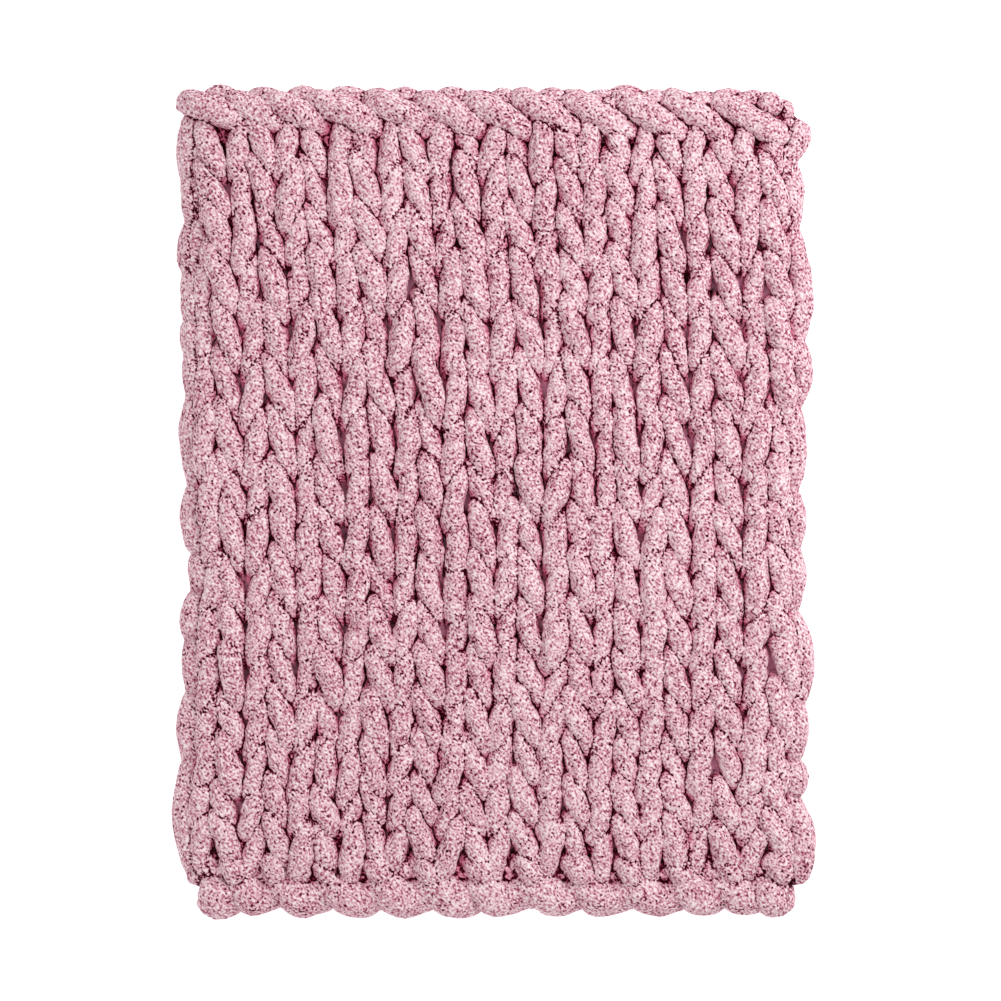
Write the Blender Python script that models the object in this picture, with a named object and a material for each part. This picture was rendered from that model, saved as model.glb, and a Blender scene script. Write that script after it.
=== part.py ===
"""Chunky knit blanket, laid flat with its knit side up.

The blanket is one continuous strand of fat chenille yarn, so it is one solid:
a flat, lumpy mat with a level underside. Each column of stitches (a wale)
stands up as a soft rib, the cast-off chain is a fat rope along the far edge
and the cast-on edge a lower one along the near edge. The outline swells with
every stitch of the edge.

Metres, +Z up. The origin is the middle of the underside. The cast-off chain
is at +Y, the cast-on edge at -Y.
"""
import math

import bmesh
import bpy
import numpy as np

MM = 0.001

# Driving dimensions, in millimetres
HALF_WIDTH = 302.0
HALF_LENGTH = 396.0
BODY_THICKNESS = 42.0
EDGE_HEIGHT = 16.0
EDGE_ROUND = 24.0
LOBE_FADE = 60.0

# Underside: distance in from the outline and height of each ring below it
UNDERCUT_RINGS = (
    (2.0, 7.0),
    (8.0, 0.0),
)

# Relief of the knit side, in millimetres
WALE_GROOVE = 5.0
WALE_DIMPLE = 2.5
CROWN_GROOVE = 2.8
CROWN_DIMPLE = 1.4
CROWN_PHASE = 0.26

# Cast-off chain and cast-on edge: how far each band reaches in from its end,
# how much it stands above the knitting, and its slanting grooves
CHAIN_BAND = 60.0
CHAIN_RISE = 4.0
CHAIN_GROOVE = 4.0
CHAIN_SLANT = 0.9
CAST_ON_BAND = 56.0
CAST_ON_RISE = 1.0
CAST_ON_GROOVE = 3.5
CAST_ON_SLANT = -0.5
BAND_SEAM = 3.5
SEAM_WIDTH = 9.0
BAND_FLAT_SHARE = 0.75

# Grooves between wales, left to right: distance from the middle line
# at the cast-off end, at mid height and at the cast-on end
WALE_LINES = (
    (-284, -265, -267),
    (-236, -216, -221),
    (-187, -168, -175),
    (-138, -120, -127),
    (-89, -73, -81),
    (-41, -25, -30),
    (11, 23, 16),
    (58, 72, 66),
    (106, 117, 115),
    (154, 163, 163),
    (205, 213, 211),
    (255, 266, 260),
)
WALE_LINE_HEIGHTS = (334.0, 50.0, -289.0)

# Height of each course's stitch gaps, from the cast-on end up
COURSE_LINES = (-335, -302, -265, -220, -177, -135, -89, -42, 2, 47, 99, 153, 199, 245, 289, 334)
ROWS_PER_COURSE = 3
LINES_PER_WALE = 4

# Grid lines that round an edge, as distances in from the outline
EDGE_LINES = (0.0, 2.5, 7.0, 14.0, 24.0)
END_LINES = (0.0, 2.5, 7.0, 14.0, 24.0, 36.0, 48.0)

# Outline, one row for each lobe of yarn: where the lobe ends along its edge,
# how far out the notch at that end stands, and how far out the lobe reaches
LEFT_LOBES = (
    (-396, 298, 298),
    (-379, 295, 292),
    (-359, 299, 298),
    (-253, 301, 312),
    (-185, 300, 307),
    (-134, 300, 303),
    (-88, 294, 303),
    (-50, 294, 297),
    (16, 297, 303),
    (103, 298, 305),
    (144, 301, 301),
    (174, 300, 304),
    (222, 302, 303),
    (271, 299, 306),
    (313, 304, 303),
    (381, 297, 307),
    (396, 299, 299),
)
RIGHT_LOBES = (
    (-396, 300, 300),
    (-375, 300, 298),
    (-284, 295, 312),
    (-252, 298, 305),
    (-195, 303, 306),
    (-107, 295, 312),
    (-45, 298, 303),
    (9, 296, 303),
    (93, 298, 303),
    (156, 302, 310),
    (265, 296, 310),
    (331, 296, 301),
    (390, 304, 308),
    (396, 302, 304),
)
TOP_LOBES = (
    (-302, 395, 395),
    (-261, 393, 400),
    (-223, 395, 402),
    (-165, 400, 402),
    (-107, 397, 402),
    (-60, 397, 405),
    (-10, 394, 404),
    (39, 389, 394),
    (82, 391, 397),
    (143, 388, 402),
    (185, 388, 396),
    (231, 390, 398),
    (302, 393, 400),
)
BOTTOM_LOBES = (
    (-302, 395, 395),
    (-242, 396, 400),
    (-207, 393, 402),
    (-156, 391, 403),
    (-108, 394, 400),
    (-52, 395, 403),
    (-8, 389, 400),
    (26, 385, 394),
    (84, 397, 398),
    (142, 394, 405),
    (190, 390, 400),
    (218, 390, 395),
    (260, 399, 405),
    (302, 395, 402),
)

YARN_PINK = (0.62, 0.31, 0.40, 1.0)
YARN_ROUGHNESS = 0.95


def lobed_edge(along, lobes):
    """Distance of an edge from the middle line, for each place along it.

    Between two notches the edge is the straight line that joins them plus a
    half sine wave as high as the lobe.
    """
    ends = np.array([row[0] for row in lobes], float)
    notches = np.array([row[1] for row in lobes], float)
    reaches = np.array([row[2] for row in lobes], float)
    place = np.clip(along, ends[0], ends[-1])
    lobe = np.clip(np.searchsorted(ends, place, side="right"), 1, len(ends) - 1)
    share = (place - ends[lobe - 1]) / (ends[lobe] - ends[lobe - 1])
    chord = notches[lobe - 1] + (notches[lobe] - notches[lobe - 1]) * share
    bulge = reaches[lobe] - 0.5 * (notches[lobe - 1] + notches[lobe])
    return chord + bulge * np.sin(math.pi * share)


def smooth_step(value, width):
    """Rise from 0 to 1 as value goes from 0 to width, level at both ends."""
    share = np.clip(value / width, 0.0, 1.0)
    return share * share * (3.0 - 2.0 * share)


def wale_line_at(height):
    """Places of the grooves between wales at each height, one row a height.

    Each groove is the parabola through its three measured places.
    """
    top, middle, bottom = WALE_LINE_HEIGHTS
    lines = np.array(WALE_LINES, float)
    height = np.asarray(height, float)[..., None]
    at_top = (height - middle) * (height - bottom) / ((top - middle) * (top - bottom))
    at_middle = (height - top) * (height - bottom) / ((middle - top) * (middle - bottom))
    at_bottom = (height - top) * (height - middle) / ((bottom - top) * (bottom - middle))
    return lines[:, 0] * at_top + lines[:, 1] * at_middle + lines[:, 2] * at_bottom


def lean_at(x, y):
    """How far the wales lean sideways at each place, none at the two sides.

    Between two grooves, or a groove and a side, it changes in a straight line.
    """
    middles = np.array([row[1] for row in WALE_LINES], float)
    top, _, bottom = WALE_LINE_HEIGHTS
    leans = wale_line_at(np.clip(y, bottom, top)) - middles
    knots = np.concatenate(([-HALF_WIDTH], middles, [HALF_WIDTH]))
    lean = np.zeros_like(x)
    for index in np.ndindex(x.shape):
        lean[index] = np.interp(x[index], knots, np.concatenate(([0.0], leans[index], [0.0])))
    return lean


def across_lines():
    """Grid lines across the blanket at mid height, left to right."""
    middles = [row[1] for row in WALE_LINES]
    inner = []
    for left, right in zip(middles[:-1], middles[1:]):
        for step in range(LINES_PER_WALE):
            inner.append(left + (right - left) * step / LINES_PER_WALE)
    inner.append(middles[-1])
    left_edge = [-HALF_WIDTH + inset for inset in EDGE_LINES]
    right_edge = [HALF_WIDTH - inset for inset in reversed(EDGE_LINES)]
    return np.array(left_edge + inner + right_edge)


def along_lines():
    """Grid lines along the blanket, from the cast-on end to the cast-off end."""
    inner = []
    for low, high in zip(COURSE_LINES[:-1], COURSE_LINES[1:]):
        for step in range(ROWS_PER_COURSE):
            inner.append(low + (high - low) * step / ROWS_PER_COURSE)
    inner.append(COURSE_LINES[-1])
    near_end = [-HALF_LENGTH + inset for inset in END_LINES]
    far_end = [HALF_LENGTH - inset for inset in reversed(END_LINES)]
    return np.array(near_end + inner + far_end)


def round_corner(across, along):
    """Bend the square corners of the grid into quarter circles.

    Within EDGE_ROUND of an edge a point is a pair (p, q) of distances back
    from the corner's centre, and each is shortened by the other's square root
    rule, which turns a square into a disc. Returns the new distances in from
    the side and from the end, and how far out on the rounded rim each is.
    """
    side = HALF_WIDTH - np.abs(across)
    end = HALF_LENGTH - np.abs(along)
    p = np.clip(1.0 - side / EDGE_ROUND, 0.0, 1.0)
    q = np.clip(1.0 - end / EDGE_ROUND, 0.0, 1.0)
    p_round = p * np.sqrt(1.0 - 0.5 * q * q)
    q_round = q * np.sqrt(1.0 - 0.5 * p * p)
    side = np.where(p > 0.0, EDGE_ROUND * (1.0 - p_round), side)
    end = np.where(q > 0.0, EDGE_ROUND * (1.0 - q_round), end)
    rim = np.clip(np.hypot(p_round, q_round), 0.0, 1.0)
    return side, end, rim


def plan_position(across, along):
    """Plan place of each grid point, in millimetres, and its rim value."""
    side, end, rim = round_corner(across, along)
    x = np.sign(across) * (HALF_WIDTH - side)
    y = np.sign(along) * (HALF_LENGTH - end)
    x = x + lean_at(x, y)
    side_reach = np.where(across < 0.0, lobed_edge(y, LEFT_LOBES), lobed_edge(y, RIGHT_LOBES))
    end_reach = np.where(along < 0.0, lobed_edge(x, BOTTOM_LOBES), lobed_edge(x, TOP_LOBES))
    x_out = np.sign(across) * (side_reach - HALF_WIDTH) * (1.0 - smooth_step(side, LOBE_FADE))
    y_out = np.sign(along) * (end_reach - HALF_LENGTH) * (1.0 - smooth_step(end, LOBE_FADE))
    return x + x_out, y + y_out, rim


def knit_relief(across, along):
    """Depth of the knitting's grooves below its crests, at each grid point.

    The groove between two wales is deepest at each course's gap, and the
    crease down a wale's middle is deepest where its V shapes end.
    """
    middles = np.array([row[1] for row in WALE_LINES], float)
    courses = np.array(COURSE_LINES, float)
    wale = np.interp(across, middles, np.arange(len(middles)))
    course = np.interp(along, courses, np.arange(len(courses)))
    side_crest = np.clip((HALF_WIDTH - np.abs(across)) / EDGE_ROUND, 0.0, 1.0)
    at_line = (0.5 + 0.5 * np.cos(2.0 * math.pi * wale)) ** 2
    at_crown = (0.5 - 0.5 * np.cos(2.0 * math.pi * wale)) ** 2
    line_depth = WALE_GROOVE + WALE_DIMPLE * np.cos(2.0 * math.pi * course)
    crown_depth = CROWN_GROOVE + CROWN_DIMPLE * np.cos(2.0 * math.pi * (course - CROWN_PHASE))
    return (at_line * line_depth + at_crown * crown_depth) * side_crest


def rope_relief(across, from_end, slant, groove):
    """Depth of a rope's slanting grooves, one for each wale."""
    pitch = (WALE_LINES[-1][1] - WALE_LINES[0][1]) / (len(WALE_LINES) - 1)
    turn = (across + slant * from_end) / pitch
    return groove * (0.5 + 0.5 * np.cos(2.0 * math.pi * turn)) ** 3


def rope_band(from_end, width, rise):
    """Height that a rope along an end adds to the knitting.

    It is a flat-topped swell across the band, with a seam where the rope
    lies against the first course.
    """
    flat = BAND_FLAT_SHARE * width
    inside = 1.0 - smooth_step(from_end - flat, width - flat)
    seam = np.exp(-(((from_end - width) / SEAM_WIDTH) ** 2))
    return rise * inside - BAND_SEAM * seam, inside


def top_height(across, along, rim):
    """Height of the knit side at each grid point, in millimetres."""
    chain, in_chain = rope_band(HALF_LENGTH - along, CHAIN_BAND, CHAIN_RISE)
    cast_on, in_cast_on = rope_band(HALF_LENGTH + along, CAST_ON_BAND, CAST_ON_RISE)
    chain_grooves = rope_relief(across, HALF_LENGTH - along, CHAIN_SLANT, CHAIN_GROOVE)
    cast_on_grooves = rope_relief(across, HALF_LENGTH + along, CAST_ON_SLANT, CAST_ON_GROOVE)
    knitting = knit_relief(across, along) * (1.0 - in_chain) * (1.0 - in_cast_on)
    crest = BODY_THICKNESS + chain + cast_on
    crest = crest - knitting - in_chain * chain_grooves - in_cast_on * cast_on_grooves
    dome = np.sqrt(np.clip(1.0 - rim * rim, 0.0, 1.0))
    return EDGE_HEIGHT + (crest - EDGE_HEIGHT) * dome


def rim_loop(columns, rows):
    """Grid indices (column, row) once round the outline, turning left."""
    near = [(column, 0) for column in range(columns - 1)]
    right = [(columns - 1, row) for row in range(rows - 1)]
    far = [(column, rows - 1) for column in range(columns - 1, 0, -1)]
    left = [(0, row) for row in range(rows - 1, 0, -1)]
    return near + right + far + left


def inset_line(lines, half, inset):
    """Grid lines drawn in from both ends by an inset, squeezed at the edge."""
    distance = half - np.abs(lines)
    squeezed = inset + distance * (EDGE_ROUND - inset) / EDGE_ROUND
    return np.where(distance < EDGE_ROUND, np.sign(lines) * (half - squeezed), lines)


def blanket_mesh():
    """Closed mesh of the blanket: domed top grid, undercut rim, level base."""
    columns = across_lines()
    rows = along_lines()
    across, along = np.meshgrid(columns, rows, indexing="ij")
    x, y, rim = plan_position(across, along)
    z = top_height(across, along, rim)

    shape = bmesh.new()
    top = {}
    for column, row in np.ndindex(x.shape):
        place = (x[column, row] * MM, y[column, row] * MM, z[column, row] * MM)
        top[column, row] = shape.verts.new(place)
    for column in range(len(columns) - 1):
        for row in range(len(rows) - 1):
            corners = ((column, row), (column + 1, row), (column + 1, row + 1), (column, row + 1))
            shape.faces.new([top[corner] for corner in corners])

    outline = rim_loop(len(columns), len(rows))
    upper = [top[index] for index in outline]
    for inset, height in UNDERCUT_RINGS:
        ring_across = inset_line(columns, HALF_WIDTH, inset)
        ring_along = inset_line(rows, HALF_LENGTH, inset)
        picked_across = np.array([ring_across[column] for column, _ in outline])
        picked_along = np.array([ring_along[row] for _, row in outline])
        ring_x, ring_y, _ = plan_position(picked_across, picked_along)
        lower = [shape.verts.new((px * MM, py * MM, height * MM)) for px, py in zip(ring_x, ring_y)]
        for place in range(len(outline)):
            after = (place + 1) % len(outline)
            shape.faces.new((upper[place], lower[place], lower[after], upper[after]))
        upper = lower
    base = shape.faces.new(list(reversed(upper)))

    bmesh.ops.triangulate(shape, faces=[base], ngon_method="BEAUTY")
    centre_on_box(shape)
    mesh = bpy.data.meshes.new("knit_blanket")
    shape.to_mesh(mesh)
    shape.free()
    return mesh


def centre_on_box(shape):
    """Move the shape so that the middle of its box lies over the origin."""
    places = np.array([vertex.co for vertex in shape.verts])
    middle = 0.5 * (places.min(axis=0) + places.max(axis=0))
    bmesh.ops.translate(shape, verts=shape.verts, vec=(-middle[0], -middle[1], 0.0))


def yarn_material():
    """Dull dusty pink chenille."""
    material = bpy.data.materials.new("yarn")
    material.use_nodes = True
    shader = material.node_tree.nodes["Principled BSDF"]
    shader.inputs["Base Color"].default_value = YARN_PINK
    shader.inputs["Roughness"].default_value = YARN_ROUGHNESS
    shader.inputs["Metallic"].default_value = 0.0
    return material


def clear_scene():
    """Remove whatever the scene holds."""
    for item in list(bpy.data.objects):
        bpy.data.objects.remove(item, do_unlink=True)


def main():
    """Build the blanket as one object."""
    clear_scene()
    mesh = blanket_mesh()
    mesh.materials.append(yarn_material())
    mesh.shade_smooth()
    blanket = bpy.data.objects.new("knit_blanket", mesh)
    bpy.context.scene.collection.objects.link(blanket)


main()
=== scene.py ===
"""Chunky knit blanket, laid flat with its knit side up and seen from above.

The blanket is built as what it is: one fat strand of chenille yarn, carried
along the path that it takes through sixteen courses of stocking stitch, with
a cast-off chain along the far end and a cast-on edge along the near end.

Sizes are in millimetres until a mesh is made, which is in metres. +X runs
across the wales, +Y along them towards the chain, +Z up out of the knit side.
"""
import logging
import math
from dataclasses import dataclass
from typing import Any, Iterable

import bpy
import numpy as np
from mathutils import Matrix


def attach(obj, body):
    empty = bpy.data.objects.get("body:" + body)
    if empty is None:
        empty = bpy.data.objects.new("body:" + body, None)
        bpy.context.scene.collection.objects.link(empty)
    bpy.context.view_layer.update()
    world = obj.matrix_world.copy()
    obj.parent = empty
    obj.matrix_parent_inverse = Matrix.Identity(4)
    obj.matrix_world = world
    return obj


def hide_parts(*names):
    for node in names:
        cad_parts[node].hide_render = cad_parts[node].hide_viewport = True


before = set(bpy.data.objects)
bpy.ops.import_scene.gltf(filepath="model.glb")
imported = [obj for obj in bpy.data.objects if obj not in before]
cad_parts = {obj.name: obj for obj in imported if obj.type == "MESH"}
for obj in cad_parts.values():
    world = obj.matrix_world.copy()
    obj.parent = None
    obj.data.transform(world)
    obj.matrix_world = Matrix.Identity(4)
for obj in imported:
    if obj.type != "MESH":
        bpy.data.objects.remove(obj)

Array = np.ndarray

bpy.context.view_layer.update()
BODY = "root"
CAD_NODE = "knit_blanket"
MM = 0.001
TURN = 2.0 * math.pi
SEED = 20

LOG = logging.getLogger("blanket")


# Where the stitches lie


def smooth_step(share: Array) -> Array:
    """Rise from 0 to 1 as share does, level at both ends."""
    share = np.clip(share, 0.0, 1.0)
    return share * share * (3.0 - 2.0 * share)


@dataclass(frozen=True)
class KnitPlan:
    """Where the wales and courses of the blanket lie.

    A wale line is the groove between two columns of stitches, given at three
    heights. A gap height is where the stitches of a course part at such a
    groove.
    """

    wale_lines: tuple[tuple[float, float, float], ...] = (
        (-284.0, -265.0, -267.0),
        (-236.0, -216.0, -221.0),
        (-187.0, -168.0, -175.0),
        (-138.0, -120.0, -127.0),
        (-89.0, -73.0, -81.0),
        (-41.0, -25.0, -30.0),
        (11.0, 23.0, 16.0),
        (58.0, 72.0, 66.0),
        (106.0, 117.0, 115.0),
        (154.0, 163.0, 163.0),
        (205.0, 213.0, 211.0),
        (255.0, 266.0, 260.0),
    )
    line_heights: tuple[float, float, float] = (334.0, 50.0, -289.0)
    gap_heights: tuple[float, ...] = (
        -335.0, -302.0, -265.0, -220.0, -177.0, -135.0, -89.0, -42.0,
        2.0, 47.0, 99.0, 153.0, 199.0, 245.0, 289.0, 334.0,
    )
    gap_below_middle: float = 5.8
    usual_pitch: float = 45.2
    overlap: float = 2.0
    wale_width: float = 48.3
    farthest_line: float = 322.0

    @property
    def wales(self) -> int:
        """How many columns of stitches there are."""
        return len(self.wale_lines) + 1

    @property
    def courses(self) -> int:
        """How many rows of stitches there are."""
        return len(self.gap_heights)

    def middle(self, course: int) -> float:
        """Height of the middle of a course's legs."""
        return self.gap_heights[course] + self.gap_below_middle

    def reaches(self, course: int) -> tuple[float, float]:
        """How far a course's loops reach down and up from their middle.

        Each reaches a little past the middle of the next course.

        Args:
            course: The course, 0 at the cast-on end.

        Returns:
            The reach down and the reach up.
        """
        gaps = (-self.usual_pitch + self.gap_heights[0], *self.gap_heights)
        gaps = (*gaps, self.gap_heights[-1] + self.usual_pitch)
        down = gaps[course + 1] - gaps[course]
        up = gaps[course + 2] - gaps[course + 1]
        return down + self.overlap, up + self.overlap

    def lines(self, height: Array) -> Array:
        """Places of all the lines that bound the wales, at each height.

        Each groove is the parabola through its three measured places. The
        two selvages lie one wale width outside the outermost grooves.

        Args:
            height: Heights along the blanket, one for each point.

        Returns:
            One row a height, one column a line, the selvages included.
        """
        top, middle, bottom = self.line_heights
        places = np.array(self.wale_lines)
        level = np.clip(height, bottom, top)[:, None]
        at_top = (level - middle) * (level - bottom) / ((top - middle) * (top - bottom))
        at_middle = (level - top) * (level - bottom) / ((middle - top) * (middle - bottom))
        at_bottom = (level - top) * (level - middle) / ((bottom - top) * (bottom - middle))
        inner = places[:, 0] * at_top + places[:, 1] * at_middle + places[:, 2] * at_bottom
        left = np.maximum(inner[:, :1] - self.wale_width, -self.farthest_line)
        right = np.minimum(inner[:, -1:] + self.wale_width, self.farthest_line)
        return np.concatenate((left, inner, right), axis=1)

    def across(self, wale: Array, height: Array) -> Array:
        """Place across the blanket of each wale number, which may be a fraction.

        Between two lines it is the straight share of the way from one to the
        other.

        Args:
            wale: Wale numbers, 0 at the left selvage.
            height: The height of each of them.

        Returns:
            The distance of each from the middle line.
        """
        lines = self.lines(height)
        left = np.clip(np.floor(wale).astype(int), 0, self.wales - 1)
        row = np.arange(len(wale))
        return lines[row, left] + (wale - left) * (lines[row, left + 1] - lines[row, left])


@dataclass(frozen=True)
class Lie:
    """How the flat knitting lies on what it rests on.

    The two selvages roll under, the outline swells with the loops of its
    edge, and a few stitches stand open.
    """

    half_width: float = 302.0
    tuck: float = 5.0
    roll_radius: float = 22.0
    roll_height: float = 8.0
    yarn_radius: float = 12.0
    lobe_fade: float = 60.0
    opening_spread: float = 17.0
    opening_core: float = 5.0
    opening_length: float = 1.6
    farthest_roll: float = 2.5
    lowest_share: float = 0.75
    left_lobes: tuple[tuple[float, float, float], ...] = (
        (-396.0, 298.0, 298.0), (-379.0, 295.0, 292.0), (-359.0, 299.0, 298.0),
        (-253.0, 301.0, 312.0), (-185.0, 300.0, 307.0), (-134.0, 300.0, 303.0),
        (-88.0, 294.0, 303.0), (-50.0, 294.0, 297.0), (16.0, 297.0, 303.0),
        (103.0, 298.0, 305.0), (144.0, 301.0, 301.0), (174.0, 300.0, 304.0),
        (222.0, 302.0, 303.0), (271.0, 299.0, 306.0), (313.0, 304.0, 303.0),
        (381.0, 297.0, 307.0), (396.0, 299.0, 299.0),
    )
    right_lobes: tuple[tuple[float, float, float], ...] = (
        (-396.0, 300.0, 300.0), (-375.0, 300.0, 298.0), (-284.0, 295.0, 312.0),
        (-252.0, 298.0, 305.0), (-195.0, 303.0, 306.0), (-107.0, 295.0, 312.0),
        (-45.0, 298.0, 303.0), (9.0, 296.0, 303.0), (93.0, 298.0, 303.0),
        (156.0, 302.0, 310.0), (265.0, 296.0, 310.0), (331.0, 296.0, 301.0),
        (390.0, 304.0, 308.0), (396.0, 302.0, 304.0),
    )
    openings: tuple[tuple[float, float, float, float], ...] = (
        (-24.7, 1.5, 5.0, 17.0), (190.2, 59.5, 5.0, 14.0), (22.7, 54.7, 3.0, 12.0),
        (20.8, 107.9, 3.0, 12.0), (22.7, -3.4, 3.0, 12.0), (88.6, 59.5, 2.5, 12.0),
        (137.0, 59.5, 2.5, 12.0), (69.2, -13.1, 2.5, 12.0), (93.4, 1.5, 2.5, 12.0),
        (42.1, -124.4, 3.0, 13.0), (93.4, -114.7, 2.5, 12.0), (42.1, -168.0, 2.5, 12.0),
        (22.7, 161.2, 2.5, 12.0), (-129.2, 199.9, 2.5, 12.0), (-48.9, 166.0, 2.5, 12.0),
        (-53.7, -74.1, 2.5, 12.0),
    )

    def lobed_edge(
        self, along: Array, lobes: tuple[tuple[float, float, float], ...]
    ) -> tuple[Array, Array]:
        """Distance of an edge from the middle line, for each place along it.

        Between two notches it is the straight line that joins them plus half
        a sine wave as high as the lobe.

        Args:
            along: Places along the edge.
            lobes: For each lobe its end, the notch there and its reach.

        Returns:
            How far out the edge stands at each place, and the sine wave.
        """
        ends, notches, reaches = np.array(lobes).T
        place = np.clip(along, ends[0], ends[-1])
        lobe = np.clip(np.searchsorted(ends, place, side="right"), 1, len(ends) - 1)
        share = (place - ends[lobe - 1]) / (ends[lobe] - ends[lobe - 1])
        chord = notches[lobe - 1] + (notches[lobe] - notches[lobe - 1]) * share
        bulge = reaches[lobe] - 0.5 * (notches[lobe - 1] + notches[lobe])
        swell = np.sin(math.pi * share)
        return chord + bulge * swell, swell

    def part_stitches(self, places: Array) -> Array:
        """Push the yarn aside at the stitches that stand open.

        Each opening moves a point away from its upright middle line, most
        near the line and level with it, by a bell curve both ways.
        """
        moved = places.copy()
        for x, y, push, half_height in self.openings:
            aside = places[:, 0] - x
            side = aside / np.hypot(aside, self.opening_core)
            near = np.exp(-((aside / self.opening_spread) ** 2))
            reach = self.opening_length * half_height
            level = np.exp(-(((places[:, 1] - y) / reach) ** 2))
            moved[:, 0] += push * side * near * level
        return moved

    def roll_selvages(self, places: Array) -> Array:
        """Roll the outer knitting under, round a bar along each selvage.

        Past the bar, the distance across becomes an angle round it, up to the
        farthest roll in radians, and the height above its middle becomes the
        distance from it.
        """
        rolled = places.copy()
        bar = self.half_width - self.tuck - self.yarn_radius - self.roll_radius
        past = np.maximum(np.abs(places[:, 0]) - bar, 0.0)
        angle = np.minimum(past / self.roll_radius, self.farthest_roll)
        reach = places[:, 2] - self.roll_height
        outside = past > 0.0
        side = np.sign(places[:, 0])
        rolled[:, 0] = np.where(outside, side * (bar + reach * np.sin(angle)), places[:, 0])
        rolled[:, 2] = np.where(outside, self.roll_height + reach * np.cos(angle), places[:, 2])
        return rolled

    def swell_edges(self, places: Array) -> Array:
        """Move the yarn near a side out or in to the lobes of the outline."""
        x, y = places[:, 0], places[:, 1]
        left, _ = self.lobed_edge(y, self.left_lobes)
        right, _ = self.lobed_edge(y, self.right_lobes)
        reach = np.where(x < 0.0, left, right)
        fade = 1.0 - smooth_step((self.half_width - np.abs(x)) / self.lobe_fade)
        swollen = places.copy()
        swollen[:, 0] += np.sign(x) * (reach - self.half_width) * fade
        return swollen

    def place(self, places: Array) -> Array:
        """Lay flat knitting down: open stitches, rolled selvages, lobed edge."""
        laid = self.swell_edges(self.roll_selvages(self.part_stitches(places)))
        laid[:, 2] = np.maximum(laid[:, 2], self.lowest_share * self.yarn_radius)
        return laid


class Unevenness:
    """How each stitch differs from its neighbours, from one seeded draw."""

    def __init__(self, plan: KnitPlan, seed: int) -> None:
        """Draw the differences of both legs of every stitch of the plan.

        Args:
            plan: The plan whose stitches are drawn.
            seed: What the draw starts from.
        """
        draw = np.random.default_rng(seed)
        shape = (plan.courses, 2 * plan.wales)
        self.centres = 0.5 * np.arange(2 * plan.wales) + 0.25
        self.along = 3.0 * self._drift(draw, shape)
        self.side = 1.5 * draw.standard_normal(shape)
        self.height = 2.2 * draw.standard_normal(shape)
        self.lean = 1.9 * draw.standard_normal(shape)
        self.tallness = 2.4 * draw.standard_normal(shape)
        self.fatness = 0.065 * draw.standard_normal(shape)

    @staticmethod
    def _drift(draw: np.random.Generator, shape: tuple[int, int]) -> Array:
        """Noise that changes slowly from course to course down a wale."""
        rough = draw.standard_normal((shape[0] + 2, shape[1]))
        return rough[:-2] * 0.6 + rough[1:-1] + rough[2:] * 0.6

    def at(self, table: Array, course: int, wale: Array) -> Array:
        """A difference at each wale number, straight between leg middles."""
        return np.interp(wale, self.centres, table[course])


# Yarn paths


@dataclass(frozen=True)
class Strand:
    """A length of yarn: the points it follows and how fat it is at each."""

    name: str
    points: Array
    radius: Array
    start: float = 0.0

    @property
    def steps(self) -> Array:
        """Distance of each point from the one before it, from the first on."""
        return np.linalg.norm(np.diff(self.points, axis=0), axis=1)

    @property
    def travelled(self) -> Array:
        """Distance along the yarn of each point."""
        return self.start + np.concatenate(([0.0], np.cumsum(self.steps)))

    def resampled(self, fine: float, coarse: float, seen_from: float, seen_to: float) -> "Strand":
        """The same yarn with close points where it shows and few where it doesn't.

        Args:
            fine: Distance between points on top of the knitting.
            coarse: Distance between points at the back of it.
            seen_from: Height of the yarn's middle below which it is hidden.
            seen_to: Height above which it is in full view.

        Returns:
            The strand with its points redrawn.
        """
        height = 0.5 * (self.points[1:, 2] + self.points[:-1, 2])
        shown = smooth_step((height - seen_from) / (seen_to - seen_from))
        cost = self.steps * (shown / fine + (1.0 - shown) / coarse)
        total = np.concatenate(([0.0], np.cumsum(cost)))
        wanted = np.linspace(0.0, total[-1], int(total[-1]) + 2)
        columns = [np.interp(wanted, total, self.points[:, axis]) for axis in range(3)]
        radius = np.interp(wanted, total, self.radius)
        return Strand(self.name, np.stack(columns, axis=1), radius, self.start)

    def round_ended(self) -> "Strand":
        """The same yarn drawn in to a dome at each end.

        Within one radius of an end the strand is as fat as a ball is there:
        the root of 1 less the square of the share of the radius left to go.
        """
        along = self.travelled - self.start
        to_end = np.minimum(along, along[-1] - along)
        share = np.clip(1.0 - to_end / self.radius, 0.0, 1.0)
        dome = np.sqrt(np.maximum(1.0 - share ** 2, 0.02))
        return Strand(self.name, self.points, self.radius * dome, self.start)


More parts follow.
